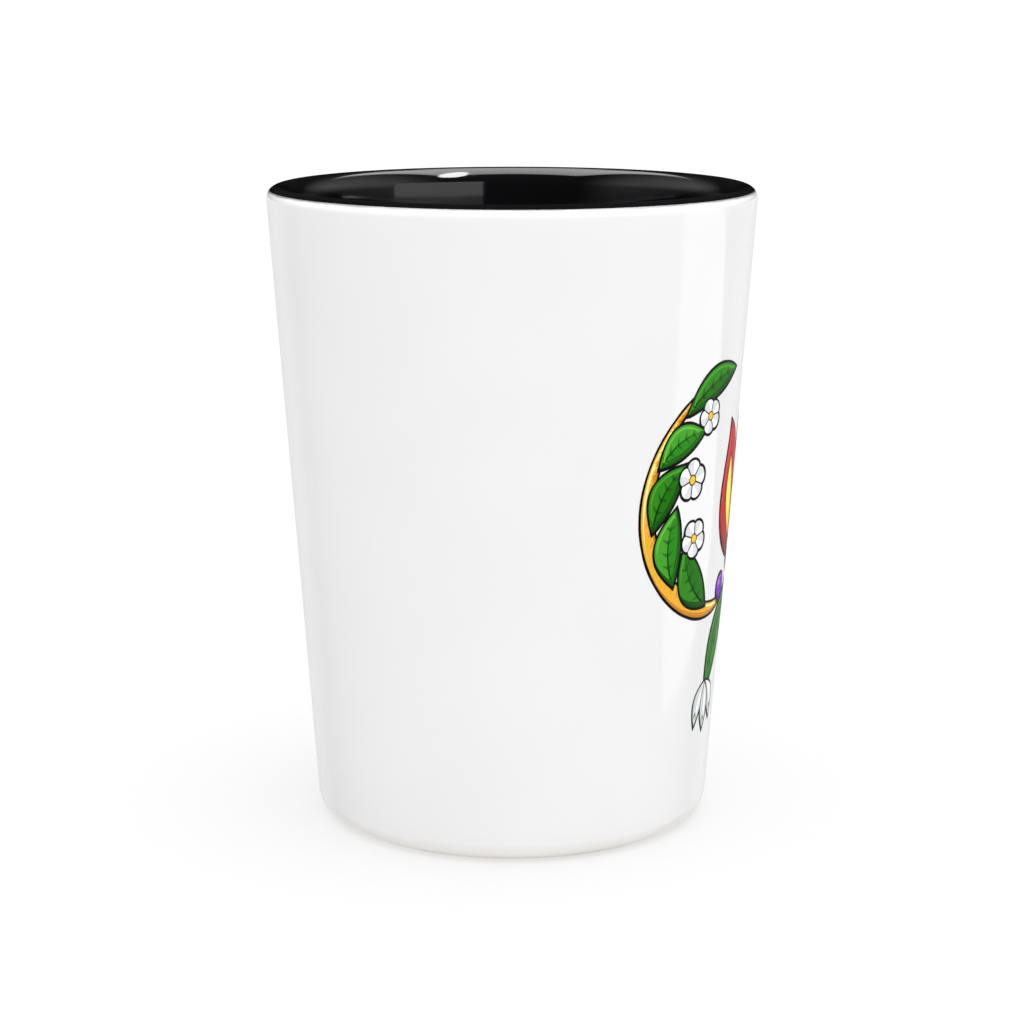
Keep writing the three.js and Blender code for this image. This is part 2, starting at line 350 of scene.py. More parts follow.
shoulderZ = cup["height"] - cup["shoulderRadius"]
lipRadius = cup["rimWall"] - cup["shoulderRadius"]
lipZ = cup["height"] - lipRadius
cornerX = wallRadius(cup["baseCorner"]) - cup["baseCorner"] / math.cos(math.radians(slope))
lipX = wallRadius(shoulderZ) - cup["shoulderRadius"] / math.cos(math.radians(slope))
whiteStart = -math.degrees(math.asin(1 - cup["footGlazeGap"] / cup["baseCorner"]))
toLip = Vector((lipX - cup["bowlFloorRadius"], lipZ - cup["floorThickness"]))
bowlSlope = math.degrees(math.atan2(toLip.x, toLip.y) - math.asin(lipRadius / toLip.length))
filletZ = cup["floorThickness"] + cup["floorFillet"]
bowlTurn = math.radians(bowlSlope)
filletX = cup["bowlFloorRadius"] + cup["floorFillet"] * (math.tan(bowlTurn) - 1 / math.cos(bowlTurn))
footInnerX = cornerX - cup["footWidth"]
recessX = footInnerX - 2 * cup["recessRound"]


def polar(x, z, radius, degrees):
    return x + radius * math.cos(math.radians(degrees)), z + radius * math.sin(math.radians(degrees))


crest = (lipX, cup["height"] - cup["crestRadius"])
bevel = polar(*crest, cup["crestRadius"] - cup["bevelRadius"], cup["bevelStart"])
seamPoint = polar(lipX, shoulderZ, cup["shoulderRadius"], cup["seamAngle"])


def outside(inset):
    return [(cornerX, cup["baseCorner"], cup["baseCorner"] - inset, whiteStart, -slope),
            (lipX, shoulderZ, cup["shoulderRadius"] - inset, -slope, cup["seamAngle"])]


def inside(inset):
    return [(lipX, shoulderZ, cup["shoulderRadius"] - inset, cup["seamAngle"], 90),
            (*crest, cup["crestRadius"] - inset, 90, cup["bevelStart"]),
            (*bevel, cup["bevelRadius"] - inset, cup["bevelStart"], 180 - bowlSlope),
            (filletX, filletZ, cup["floorFillet"] + inset, -bowlSlope, -90),
            (0, cup["floorThickness"] - inset, 0, 0, 0)]


def recess(inset):
    rounding = cup["recessRound"]
    return [(0, 2 * rounding + inset, 0, 0, 0),
            (recessX, rounding, rounding + inset, 90, 0),
            (footInnerX, rounding, rounding - inset, 180, cup["recessGlazeEdge"])]


def backwards(arcs):
    return [(x, z, radius, end, start) for x, z, radius, start, end in reversed(arcs)]


def drawContour(name, arcs):  # a pen of one vertex: straight to each arc's start, then round it
    here = Vector(polar(*arcs[0][:4]))
    clearSelection()
    bpy.ops.mesh.primitive_plane_add(size=mm, location=(here.x * mm, 0, here.y * mm))
    bpy.ops.object.transform_apply(location=True, rotation=False, scale=False)
    piece = bpy.context.object
    piece.name = piece.data.name = name
    editAll(piece)
    bpy.ops.mesh.merge(type="CENTER")
    for x, z, radius, start, end in arcs:
        there = Vector(polar(x, z, radius, start))
        steps = max(1, round((there - here).length / cup["lineStep"]))
        if (there - here).length > 1e-6:
            move = (there - here) * mm / steps
            for _ in range(steps):
                bpy.ops.mesh.extrude_vertices_move(TRANSFORM_OT_translate={"value": (move.x, 0, move.y)})
        if radius:
            bpy.ops.mesh.spin(
                steps=max(3, round(abs(end - start) / cup["arcStep"])), angle=math.radians(end - start),
                center=(x * mm, 0, z * mm), axis=(0, 1, 0))
        here = Vector(polar(x, z, radius, end))
    bpy.ops.object.mode_set(mode="OBJECT")
    return piece


def turnOnWheel(piece):
    editAll(piece)
    bpy.ops.mesh.spin(steps=cup["facets"], angle=2 * math.pi, center=(0, 0, 0), axis=(0, 0, 1))
    bpy.ops.mesh.select_all(action="SELECT")
    bpy.ops.mesh.remove_doubles(threshold=0.0005 * mm)
    bpy.ops.mesh.normals_make_consistent(inside=False)
    bpy.ops.object.mode_set(mode="OBJECT")
    bpy.ops.object.shade_smooth_by_angle(angle=math.radians(cup["smoothAngle"]))
    return piece


def skin(name, stretch):
    arcs = stretch(0) + backwards(stretch(cup["glaze"]))
    return turnOnWheel(drawContour(name, arcs + [arcs[0][:4] + (arcs[0][3],)]))


bodyArcs = (
    recess(cup["glaze"])
    + [(footInnerX, cup["recessRound"], cup["recessRound"], cup["recessGlazeEdge"], 270),
       (cornerX, cup["baseCorner"], cup["baseCorner"], -90, whiteStart)]
    + outside(cup["glaze"]) + inside(cup["glaze"]))

cupBody = turnOnWheel(drawContour("cupBody", bodyArcs))
finishPiece(cupBody, makeBisque(), "bisque", "ceramic_body")
whiteGlaze = skin("whiteGlaze", outside)
whiteFinish = makeWhiteGlaze("whiteGlaze", whiteGlazeLook["footThinAndLitFade"])
finishPiece(whiteGlaze, whiteFinish, "white_glaze", "outer_white_glaze")
blackGlaze = skin("blackGlaze", inside)
finishPiece(blackGlaze, makeBlackGlaze(), "black_glaze", "inner_black_glaze")
recessGlaze = skin("recessGlaze", recess)
recessFinish = makeWhiteGlaze("recessWhiteGlaze", whiteGlazeLook["recessThinAndLitFade"])
finishPiece(recessGlaze, recessFinish, "white_glaze", "recess_glaze")
print("cup turned")


# the print, drawn flat in millimetres: x runs along the wall, to the right as it is faced, y is up

printing = {
    "scaleRadius": wallRadius(cup["height"] / 2),  # where the drawing keeps its true width
    "outline": 0.27,
    "brushSwell": 0.3,  # how much of the line's width comes and goes
    "film": 0.016,  # thickness of one layer of ink
    "blackLift": 0.005,
    "colorLift": 0.023,
    "curveSteps": 16,
    "grid": 0.4,  # the film's facets
    "light": Vector((-0.55, 0.84)),  # where the drawn light comes from
}
wreath = {"center": Vector((-9, 32.6)), "radius": 11.1, "start": 282, "sweep": 172,
          "leafAngles": (262, 226, 192, 160, 130)}


def curved(start, curves):  # closed outline: each curve is two pulls and an end
    here, points = Vector((*start, 0)), []
    for ax, ay, bx, by, endX, endY in curves:
        end = Vector((endX, endY, 0))
        pulls = Vector((ax, ay, 0)), Vector((bx, by, 0))
        points += interpolate_bezier(here, *pulls, end, printing["curveSteps"] + 1)[:-1]
        here = end
    return [point.xy for point in points]


def leaf(base, tip, halfWidth, bow):  # pointed, with its spine bowed to the left
    base, tip = Vector(base), Vector(tip)
    along = (tip - base).normalized()
    left = Vector((-along.y, along.x))
    length, steps = (tip - base).length, 2 * printing["curveSteps"]

    def edge(share, side):
        return base + along * length * share + left * 4 * share * (1 - share) * (bow + side * halfWidth)

    def lay(point):
        share = (point - base).dot(along) / length
        off = (point - base).dot(left) - 4 * share * (1 - share) * bow
        return share, off / halfWidth

    outline = [edge(i / steps, -1) for i in range(steps)] + [edge(1 - i / steps, 1) for i in range(steps)]
    return outline, lay


def onCircle(center, radius, angle):
    return center + radius * Vector((math.cos(angle), math.sin(angle)))


def blossom(center, radius, turn):
    center, steps = Vector(center), 5 * printing["curveSteps"]
    outline = []
    for i in range(steps):
        reach = radius * (0.7 + 0.3 * math.sqrt(abs(math.sin(5 * math.pi * i / steps))))
        outline.append(onCircle(center, reach, turn + 2 * math.pi * i / steps))
    cosTurn, sinTurn = math.cos(turn), math.sin(turn)

    def lay(point):
        away = (point - center) / radius
        return away.x * cosTurn + away.y * sinTurn, away.y * cosTurn - away.x * sinTurn

    return outline, lay


def disc(center, radius):
    center, steps = Vector(center), 3 * printing["curveSteps"]
    outline = [onCircle(center, radius, 2 * math.pi * i / steps) for i in range(steps)]
    return outline, lambda point: tuple((point - center) / radius)


def onWreath(radius, degrees):
    return onCircle(wreath["center"], radius, math.radians(degrees))


def branch():
    def halfWidth(share):
        return 0.14 + 0.72 * math.sin(math.pi * min(1, max(0, share)) ** 0.6) ** 1.4

    def edge(share, side):
        heading = wreath["start"] - wreath["sweep"] * share
        return onWreath(wreath["radius"] + side * halfWidth(share), heading)

    def lay(point):
        away = point - wreath["center"]
        share = (wreath["start"] - math.degrees(math.atan2(away.y, away.x)) % 360) / wreath["sweep"]
        return share, away.length - wreath["radius"]

    steps = 4 * printing["curveSteps"]
    outer = [edge(i / steps, 1) for i in range(steps + 1)]
    inner = [edge(1 - i / steps, -1) for i in range(steps + 1)]
    return outer + inner, lay


def wreathLeaf(index):
    degrees = wreath["leafAngles"][index]
    base = onWreath(wreath["radius"] - 0.5, degrees)
    last = index == len(wreath["leafAngles"]) - 1
    tip = Vector((-7.2, 44)) if last else onWreath(wreath["radius"] - 3.6, degrees - 46 + 3 * index)
    return leaf(base, tip, 1.75 - 0.1 * index, 0.9)


def petal(base, tip, halfWidth, start, curves):
    return curved(start, curves), leaf(base, tip, halfWidth, 0)[1]


def mirrored(drawn):
    outline, lay = drawn

    def layMirrored(point):
        share, off = lay(Vector((-point.x, point.y)))
        return share, -off

    return [Vector((-p.x, p.y)) for p in reversed(outline)], layMirrored


def bothSides(name, ink, drawn):
    return [(name + "_left", ink, drawn), (name + "_right", ink, mirrored(drawn))]


stem = petal((0, 10.6), (0, 25.8), 0.9, (-0.75, 25.6), [
    (-0.9, 20, -1.5, 14, 0, 10.6), (1.5, 14, 0.9, 20, 0.75, 25.6), (0.4, 25.9, -0.4, 25.9, -0.75, 25.6)])
outerPetal = petal((-1.6, 25.4), (-6.9, 39), 3.4, (-0.6, 25.2), [
    (-5.4, 24.9, -8.7, 27.6, -8.3, 32), (-8, 34.8, -7, 36.8, -6.9, 39),
    (-4.6, 37.6, -2.9, 35.4, -2.2, 32.4), (-1.7, 30, -1.2, 27.6, -0.6, 25.2)])
centerPetal = petal((0, 25.4), (0, 40.4), 3.2, (0, 25.4), [
    (-3.9, 28.4, -4.6, 34.6, 0, 40.4), (4.6, 34.6, 3.9, 28.4, 0, 25.4)])
calyx = petal((0, 23), (0, 29.6), 4.2, (0, 23), [
    (-2.4, 23.4, -3.9, 25, -4.2, 27.4), (-2.9, 26.7, -1.9, 26.6, -1.2, 27.6),
    (-0.8, 28.4, -0.3, 29, 0, 29.6), (0.3, 29, 0.8, 28.4, 1.2, 27.6),
    (1.9, 26.6, 2.9, 26.7, 4.2, 27.4), (3.9, 25, 2.4, 23.4, 0, 23)])

drawing = [  # back to front; each colour is cut back where another lies over it
    ("stem", "stemGreen", stem),
    *bothSides("lower_leaf", "leafGreen", leaf((-1, 22.8), (-8.6, 12.9), 1.9, -1.4)),
    *bothSides("snowdrop_petal_1", "snowdropWhite", leaf((-8.7, 14.2), (-10.7, 10.3), 0.85, -0.5)),
    *bothSides("snowdrop_petal_2", "snowdropWhite", leaf((-8.3, 14.2), (-6.3, 10.3), 0.85, 0.5)),
    *bothSides("snowdrop_petal_3", "snowdropWhite", leaf((-8.5, 14), (-8.4, 9.6), 0.85, 0)),
    *bothSides("gold_branch", "branchGold", branch()),
]
for index in range(len(wreath["leafAngles"])):
    green = "brightGreen" if index % 2 else "leafGreen"
    drawing += bothSides(f"wreath_leaf_{index + 1}", green, wreathLeaf(index))
drawing += [
    *bothSides("blossom_1", "blossomWhite", blossom((-13.6, 29), 1.75, 0.3)),
    *bothSides("blossom_2", "blossomWhite", blossom((-14.5, 34.6), 1.85, 0.9)),
    *bothSides("blossom_3", "blossomWhite", blossom((-12.3, 40.2), 1.6, 0.1)),
    *bothSides("berry", "berryPurple", disc((-6.1, 22.9), 1.3)),
    *bothSides("outer_petal", "petalRed", outerPetal),
    *bothSides("yellow_petal", "flameYellow", leaf((-3.9, 27.3), (-5.9, 35.4), 1.15, 0.5)),
    ("center_petal", "petalRed", centerPetal),
    ("calyx", "calyxGreen", calyx),
]


def cutPlate(name, outline, low, high):  # a flat plate of the outline's shape
    clearSelection()
    bpy.ops.mesh.primitive_circle_add(vertices=len(outline), radius=1, fill_type="NGON")
    plate = bpy.context.object
    plate.name = plate.data.name = name
    area = sum(a.cross(b) for a, b in zip(outline, outline[1:] + outline[:1]))
    for vertex, point in zip(plate.data.vertices, outline if area > 0 else outline[::-1]):
        vertex.co = (point.x, point.y, low)
    editAll(plate)
    bpy.ops.mesh.extrude_region_move(TRANSFORM_OT_translate={"value": (0, 0, high - low)})
    bpy.ops.mesh.select_all(action="SELECT")
    bpy.ops.mesh.normals_make_consistent(inside=False)
    bpy.ops.object.mode_set(mode="OBJECT")
    return plate


def overlap(a, b):
    return all(min(p[i] for p in a) < max(p[i] for p in b) and min(p[i] for p in b) < max(p[i] for p in a)
               for i in (0, 1))


def cutGrid(plate, step):  # so that the plate can bend
    editAll(plate)
    bpy.ops.mesh.quads_convert_to_tris(quad_method="BEAUTY", ngon_method="BEAUTY")
    for axis in (0, 1):
        places = [v.co[axis] for v in plate.data.vertices]
        for k in range(math.ceil(min(places) / step), math.floor(max(places) / step) + 1):
            spot, normal = [0, 0, 0], [0, 0, 0]
            spot[axis], normal[axis] = k * step, 1
            bpy.ops.mesh.select_all(action="SELECT")
            bpy.ops.mesh.bisect(plane_co=spot, plane_no=normal, threshold=0.001)
    bpy.ops.mesh.select_all(action="SELECT")
    bpy.ops.mesh.remove_doubles(threshold=0.002)
    bpy.ops.object.mode_set(mode="OBJECT")


def nearestEdge(places, outline):  # distance to the drawn edge, and how far that edge faces the light
    starts = np.array([p[:] for p in outline])
    ends = np.roll(starts, -1, axis=0)
    runs = ends - starts
    area = np.sum(starts[:, 0] * ends[:, 1] - ends[:, 0] * starts[:, 1])
    away = np.stack([runs[:, 1], -runs[:, 0]], axis=1) * np.sign(area)
    away /= np.linalg.norm(away, axis=1, keepdims=True)
    offsets = places[:, None, :] - starts[None, :, :]
    shares = np.clip((offsets * runs).sum(axis=2) / (runs * runs).sum(axis=1), 0, 1)
    gaps = np.linalg.norm(offsets - shares[:, :, None] * runs, axis=2)
    return gaps.min(axis=1), (away @ np.array(printing["light"][:]))[gaps.argmin(axis=1)]


def grow(outline, width):  # moved outwards as far as a brush would, wider below and where it lingers
    area = sum(a.cross(b) for a, b in zip(outline, outline[1:] + outline[:1]))
    moved, reaches = [], []
    for before, point, after in zip(outline[-1:] + outline[:-1], outline, outline[1:] + outline[:1]):
        along = (point - before).normalized() + (after - point).normalized()
        away = Vector((along.y, -along.x)).normalized() * math.copysign(1, area)
        lingers = noise.noise(Vector((point.x * 0.35, point.y * 0.35, 3)))
        reach = width * (1 + printing["brushSwell"] * (lingers - 0.6 * away.dot(printing["light"])))
        moved.append(point + away * reach / max(0.6, along.length / 2))
        reaches.append(reach)
    gaps, _ = nearestEdge(np.array([point[:] for point in moved]), outline)
    kept = zip(moved, gaps, reaches)
    return [point for point, gap, reach in kept if gap > 0.9 * reach]  # drops folded notches


def layInk(plate, lift, outline=None, lay=None):  # notes for the inks, then the bend onto the wall
    mesh = plate.data
    flat = np.array([v.co[:] for v in mesh.vertices])
    if lay:
        gaps, lit = nearestEdge(flat[:, :2], outline)
        mesh.attributes.new("edge", "FLOAT", "POINT").data.foreach_set("value", gaps)
        mesh.attributes.new("lit", "FLOAT", "POINT").data.foreach_set("value", lit)
        places = [lay(Vector(p[:2])) for p in flat]
        uv = mesh.uv_layers.new(name="lay")
        for loop in mesh.loops:
            uv.data[loop.index].uv = places[loop.vertex_index]
    for vertex in mesh.vertices:
        x, y, z = vertex.co
        radius = wallRadius(y) + lift + z
        turn = x / printing["scaleRadius"]
        vertex.co = (radius * math.cos(turn) * mm, radius * math.sin(turn) * mm, y * mm)
    editAll(plate)
    bpy.ops.mesh.quads_convert_to_tris(quad_method="BEAUTY", ngon_method="BEAUTY")
    bpy.ops.object.mode_set(mode="OBJECT")
    bpy.ops.object.shade_smooth()
    tilt = math.radians(slope)
    normals = []
    for face in mesh.polygons:
        for index in face.vertices:
            turn = flat[index][0] / printing["scaleRadius"]
            out = Vector((math.cos(turn) * math.cos(tilt), math.sin(turn) * math.cos(tilt), -math.sin(tilt)))
            normals.append(out if face.normal.dot(out) > 0.9 else face.normal.copy())
    mesh.normals_split_custom_set(normals)
    return plate


# the inks.  Every ink reads how far a spot is from the drawn edge, and whether that edge faces the
# drawn light: a deeper tone lies along the far edges and a thin glint just inside the near ones

def makeInkShade():
    nodes, given, result = newGroup(
        "inkShade", {"shadeWidth": 0.6, "glintAt": 0.3, "glintWidth": 0.1, "wander": 0.12},
        {name: "NodeSocketFloat" for name in ("Shade", "Glint", "Grain", "Height")})
    edge = nodes.add("ShaderNodeAttribute", attribute_name="edge").outputs["Fac"]
    lit = nodes.add("ShaderNodeAttribute", attribute_name="lit").outputs["Fac"]
    place = nodes.add("ShaderNodeTexCoord").outputs["Object"]
    slow = nodes.add("ShaderNodeTexNoise", {"Vector": place, "Scale": 420, "Detail": 2}).outputs["Fac"]
    grain = nodes.add("ShaderNodeTexNoise", {"Vector": place, "Scale": 5200, "Detail": 3}).outputs["Fac"]
    sway = nodes.times(nodes.minus(slow, 0.5), given.outputs["wander"])
    edge = nodes.plus(edge, sway)
    reach = nodes.times(given.outputs["shadeWidth"], nodes.fade(lit, 0.25, -0.75, 0.0, 1.0))
    shade = nodes.fade(nodes.minus(reach, edge), -0.03, 0.03)
    thick = nodes.times(given.outputs["glintWidth"], nodes.fade(lit, 0.2, 0.8))
    off = nodes.absolute(nodes.minus(edge, given.outputs["glintAt"]))
    glint = nodes.fade(nodes.minus(thick, off), -0.03, 0.03)
    nodes.feed(result.inputs["Shade"], shade)
    nodes.feed(result.inputs["Glint"], glint)
    nodes.feed(result.inputs["Grain"], grain)
    nodes.feed(result.inputs["Height"], nodes.plus(nodes.times(grain, 0.15), slow))


makeInkShade()


def makeRib():  # a leaf's middle rib and its side veins, from the leaf's own lay
    nodes, given, result = newGroup(
        "leafVeins", {"veins": 6.0, "ribWidth": 0.07, "veinWidth": 0.16},
        {name: "NodeSocketFloat" for name in ("Half", "Rib", "Vein")})
    share, off, _ = nodes.split(nodes.add("ShaderNodeUVMap", uv_map="lay").outputs["UV"])
    side = nodes.absolute(off)
    half = nodes.fade(off, -0.03, 0.03)
    taper = nodes.fade(share, 1.0, 0.1, 0.25, 1.0)
    ribWidth = nodes.times(given.outputs["ribWidth"], taper)
    inside = nodes.times(nodes.fade(share, 0.03, 0.1), nodes.fade(share, 0.86, 0.8))
    rib = nodes.times(nodes.fade(nodes.minus(ribWidth, side), -0.03, 0.03), inside)
    sweep = nodes.minus(share, nodes.times(side, 0.12))
    wave = nodes.math("FRACT", nodes.times(sweep, given.outputs["veins"]))
    thin = nodes.absolute(nodes.minus(wave, 0.5))
    width = nodes.times(given.outputs["veinWidth"], nodes.fade(side, 0.62, 0.0))
    vein = nodes.fade(nodes.minus(width, thin), -0.03, 0.05)
    vein = nodes.times(vein, nodes.times(inside, nodes.fade(side, 0.66, 0.5)))
    nodes.feed(result.inputs["Half"], half)
    nodes.feed(result.inputs["Rib"], rib)
    nodes.feed(result.inputs["Vein"], vein)


makeRib()

inks = {  # screen colours: the middle tone, the shaded side, the lit edge and the drawn lines
    "leafGreen": ((31, 110, 9), (17, 74, 5), (68, 160, 38), (7, 46, 4)),
    "calyxGreen": ((33, 114, 12), (17, 76, 7), (76, 168, 44), (7, 46, 4)),
    "brightGreen": ((40, 134, 22), (21, 90, 13), (100, 188, 64), (12, 66, 9)),
    "stemGreen": ((38, 128, 20), (20, 84, 11), (96, 184, 60), (12, 66, 9)),
    "branchGold": ((230, 172, 50), (194, 124, 28), (255, 240, 160), (150, 92, 24)),
    "petalRed": ((188, 9, 11), (130, 2, 6), (224, 66, 68), (86, 0, 4)),
    "flameYellow": ((238, 238, 74), (240, 186, 46), (252, 252, 190), (206, 132, 24)),
    "berryPurple": ((112, 14, 184), (70, 5, 124), (196, 128, 240), (50, 4, 92)),
    "snowdropWhite": ((240, 240, 240), (204, 206, 208), (254, 254, 254), (60, 130, 44)),
    "blossomWhite": ((243, 243, 243), (206, 208, 211), (255, 255, 255), (28, 28, 28)),
}
inkTones = ("mid", "deep", "light", "line")
blackInkTones = (3, 3, 3), (14, 13, 14)
blossomHeart = (240, 192, 52)
inkFinish = {"ior": 1.45, "specular": 0.07, "roughness": (0.3, 0.42), "grainHeight": 0.008}


def startInk(name, **widths):
    material, nodes = newMaterial(name)
    tones = {tone: (*linear(*color), 1) for tone, color in zip(inkTones, inks[name])}
    shade = useGroup(nodes, "inkShade", **widths)
    return material, nodes, tones, shade


def closeInk(nodes, color, grain, height):
    rough = nodes.fade(grain, 0.3, 0.7, *inkFinish["roughness"])
    relief = {"Strength": 0.5, "Distance": inkFinish["grainHeight"] * mm, "Height": height}
    bump = nodes.add("ShaderNodeBump", relief)
    closeMaterial(nodes, Base_Color=color, Roughness=rough, IOR=inkFinish["ior"],
                  Specular_IOR_Level=inkFinish["specular"], Normal=bump.outputs[0])


def closeColor(nodes, color, shade):
    toned = nodes.add("ShaderNodeVectorMath", {0: color}, operation="SCALE")
    nodes.feed(toned.inputs["Scale"], nodes.fade(shade["Grain"], 0.3, 0.7, 0.94, 1.04))
    closeInk(nodes, toned.outputs[0], shade["Grain"], shade["Height"])


def makeLeafInk(name, veins):
    material, nodes, tones, shade = startInk(name, shadeWidth=0.5, glintAt=0.3, glintWidth=0.1)
    rib = useGroup(nodes, "leafVeins", veins=veins)
    color = nodes.mix(nodes.times(rib["Half"], 0.35), tones["mid"], tones["light"])
    color = nodes.mix(shade["Shade"], color, tones["deep"])
    color = nodes.mix(nodes.times(rib["Vein"], 0.75), color, tones["deep"])
    color = nodes.mix(rib["Rib"], color, tones["line"])
    color = nodes.mix(shade["Glint"], color, tones["light"])
    closeColor(nodes, color, shade)
    return material


def makePetalInk(name, streaks):  # streaks fan out from the base
    material, nodes, tones, shade = startInk(name, shadeWidth=0.75, glintAt=0.42, glintWidth=0.13)
    share, off, _ = nodes.split(nodes.add("ShaderNodeUVMap", uv_map="lay").outputs["UV"])
    spread = nodes.times(nodes.times(share, nodes.minus(1.0, share)), 4.0)
    fan = nodes.times(nodes.math("DIVIDE", off, nodes.plus(spread, 0.12)), streaks)
    wave = nodes.absolute(nodes.minus(nodes.math("FRACT", fan), 0.5))
    number = nodes.math("FLOOR", fan)
    pick = nodes.add("ShaderNodeTexWhiteNoise", {"W": number}, noise_dimensions="1D").outputs["Value"]
    reach = nodes.plus(nodes.times(pick, 0.3), 0.42)
    long = nodes.times(nodes.minus(reach, share), 0.6)
    streak = nodes.fade(nodes.minus(long, wave), -0.05, 0.02)
    base = nodes.fade(share, 0.34, 0.12)
    color = nodes.mix(nodes.times(base, 0.5), tones["mid"], tones["deep"])
    color = nodes.mix(nodes.times(streak, 0.85), color, tones["deep"])
    color = nodes.mix(shade["Shade"], color, tones["deep"])
    color = nodes.mix(shade["Glint"], color, tones["light"])
    closeColor(nodes, color, shade)
    return material


def makeBranchInk():  # a cream light along the lit edge, short bark strokes across
    material, nodes, tones, shade = startInk("branchGold", shadeWidth=0.42, glintAt=0.26, glintWidth=0.12)
    share, off, _ = nodes.split(nodes.add("ShaderNodeUVMap", uv_map="lay").outputs["UV"])
    skewed = nodes.plus(nodes.times(share, 30.0), nodes.times(off, 0.9))
    stroke = nodes.absolute(nodes.minus(nodes.math("FRACT", skewed), 0.5))
    stroke = nodes.fade(nodes.minus(0.07, stroke), -0.03, 0.03)
    stroke = nodes.times(stroke, nodes.fade(off, 0.15, -0.15))
    color = nodes.mix(shade["Shade"], tones["mid"], tones["deep"])
    color = nodes.mix(nodes.times(stroke, 0.6), color, tones["line"])
    color = nodes.mix(shade["Glint"], color, tones["light"])
    closeColor(nodes, color, shade)
    return material


def makeBerryInk():  # a round shine high on the lit side, and the dark eye of the berry
    material, nodes, tones, shade = startInk("berryPurple", shadeWidth=0.55, glintAt=0.3, glintWidth=0.07)
    lay = nodes.add("ShaderNodeUVMap", uv_map="lay").outputs["UV"]
    shine = nodes.distance(lay, (-0.32, 0.36, 0))
    eye = nodes.distance(lay, (0.22, -0.3, 0))
    color = nodes.mix(shade["Shade"], tones["mid"], tones["deep"])
    color = nodes.mix(nodes.fade(eye, 0.16, 0.1), color, tones["line"])
    color = nodes.mix(nodes.fade(shine, 0.24, 0.18), color, tones["light"])
    color = nodes.mix(shade["Glint"], color, tones["light"])
    closeColor(nodes, color, shade)
    return material


def makeSnowdropInk():  # half white, half grey, with a green mark near the tip
    material, nodes, tones, shade = startInk("snowdropWhite", shadeWidth=0.3, glintAt=0.3, glintWidth=0.02)
    share, off, _ = nodes.split(nodes.add("ShaderNodeUVMap", uv_map="lay").outputs["UV"])
    half = nodes.fade(off, -0.08, 0.0)
    bend = nodes.plus(0.74, nodes.absolute(nodes.times(off, 0.3)))
    mark = nodes.absolute(nodes.minus(share, bend))
    mark = nodes.times(nodes.fade(mark, 0.05, 0.03), nodes.fade(nodes.absolute(off), 0.42, 0.34))
    color = nodes.mix(half, tones["deep"], tones["mid"])
    color = nodes.mix(shade["Shade"], color, tones["deep"])
    color = nodes.mix(mark, color, tones["line"])
    closeColor(nodes, color, shade)
    return material


def makeBlossomInk():  # five petals parted by fine black lines, round a yellow middle
    material, nodes, tones, shade = startInk("blossomWhite", shadeWidth=0.35, glintAt=0.3, glintWidth=0.02)
    x, y, _ = nodes.split(nodes.add("ShaderNodeUVMap", uv_map="lay").outputs["UV"])
    angle = nodes.math("DIVIDE", nodes.math("ARCTAN2", y, x), 2 * math.pi / 5)
    reach = nodes.math("SQRT", nodes.plus(nodes.times(x, x), nodes.times(y, y)))
    part = nodes.math("FRACT", nodes.plus(angle, 5.0))
    middle = nodes.absolute(nodes.minus(part, 0.5))
    aside = nodes.times(nodes.minus(0.5, middle), reach)
    line = nodes.times(nodes.fade(aside, 0.045, 0.02), nodes.fade(reach, 0.78, 0.7))
    crease = nodes.times(middle, reach)
    crease = nodes.times(nodes.fade(crease, 0.03, 0.012), nodes.fade(reach, 0.62, 0.52))
    half = nodes.fade(part, 0.48, 0.52)
    color = nodes.mix(nodes.times(half, 0.8), tones["mid"], tones["deep"])
    color = nodes.mix(nodes.times(crease, 0.6), color, tones["deep"])
    color = nodes.mix(line, color, tones["line"])
    color = nodes.mix(nodes.fade(reach, 0.3, 0.27), color, tones["line"])
    color = nodes.mix(nodes.fade(reach, 0.23, 0.2), color, (*linear(*blossomHeart), 1))
    closeColor(nodes, color, shade)
    return material


def makeBlackInk():
    material, nodes = newMaterial("blackInk")
    place = nodes.add("ShaderNodeTexCoord").outputs["Object"]
    grain = nodes.add("ShaderNodeTexNoise", {"Vector": place, "Scale": 5200, "Detail": 3}).outputs["Fac"]
    dark, worn = [(*linear(*tone), 1) for tone in blackInkTones]
    closeInk(nodes, nodes.mix(nodes.fade(grain, 0.35, 0.65), dark, worn), grain, grain)
    return material


inkMaterials = {
    "leafGreen": makeLeafInk("leafGreen", 6.0),
    "brightGreen": makeLeafInk("brightGreen", 6.0),
    "calyxGreen": makePetalInk("calyxGreen", 5.0),
    "stemGreen": makePetalInk("stemGreen", 2.0),
    "branchGold": makeBranchInk(),
    "petalRed": makePetalInk("petalRed", 4.5),
    "flameYellow": makePetalInk("flameYellow", 3.0),
    "berryPurple": makeBerryInk(),
    "snowdropWhite": makeSnowdropInk(),
    "blossomWhite": makeBlossomInk(),
}
inkSlots = {
    "leafGreen": "leaf_green_ink", "calyxGreen": "leaf_green_ink", "brightGreen": "bright_green_ink",
    "stemGreen": "bright_green_ink", "branchGold": "gold_ink", "petalRed": "red_ink",
    "flameYellow": "yellow_ink", "berryPurple": "purple_ink", "snowdropWhite": "white_ink",
    "blossomWhite": "white_ink",
}


def pieceName(nodeName):  # wreath_leaf_2_left becomes wreathLeaf2Left
    first, *rest = nodeName.split("_")
    return first + "".join(word.capitalize() for word in rest)


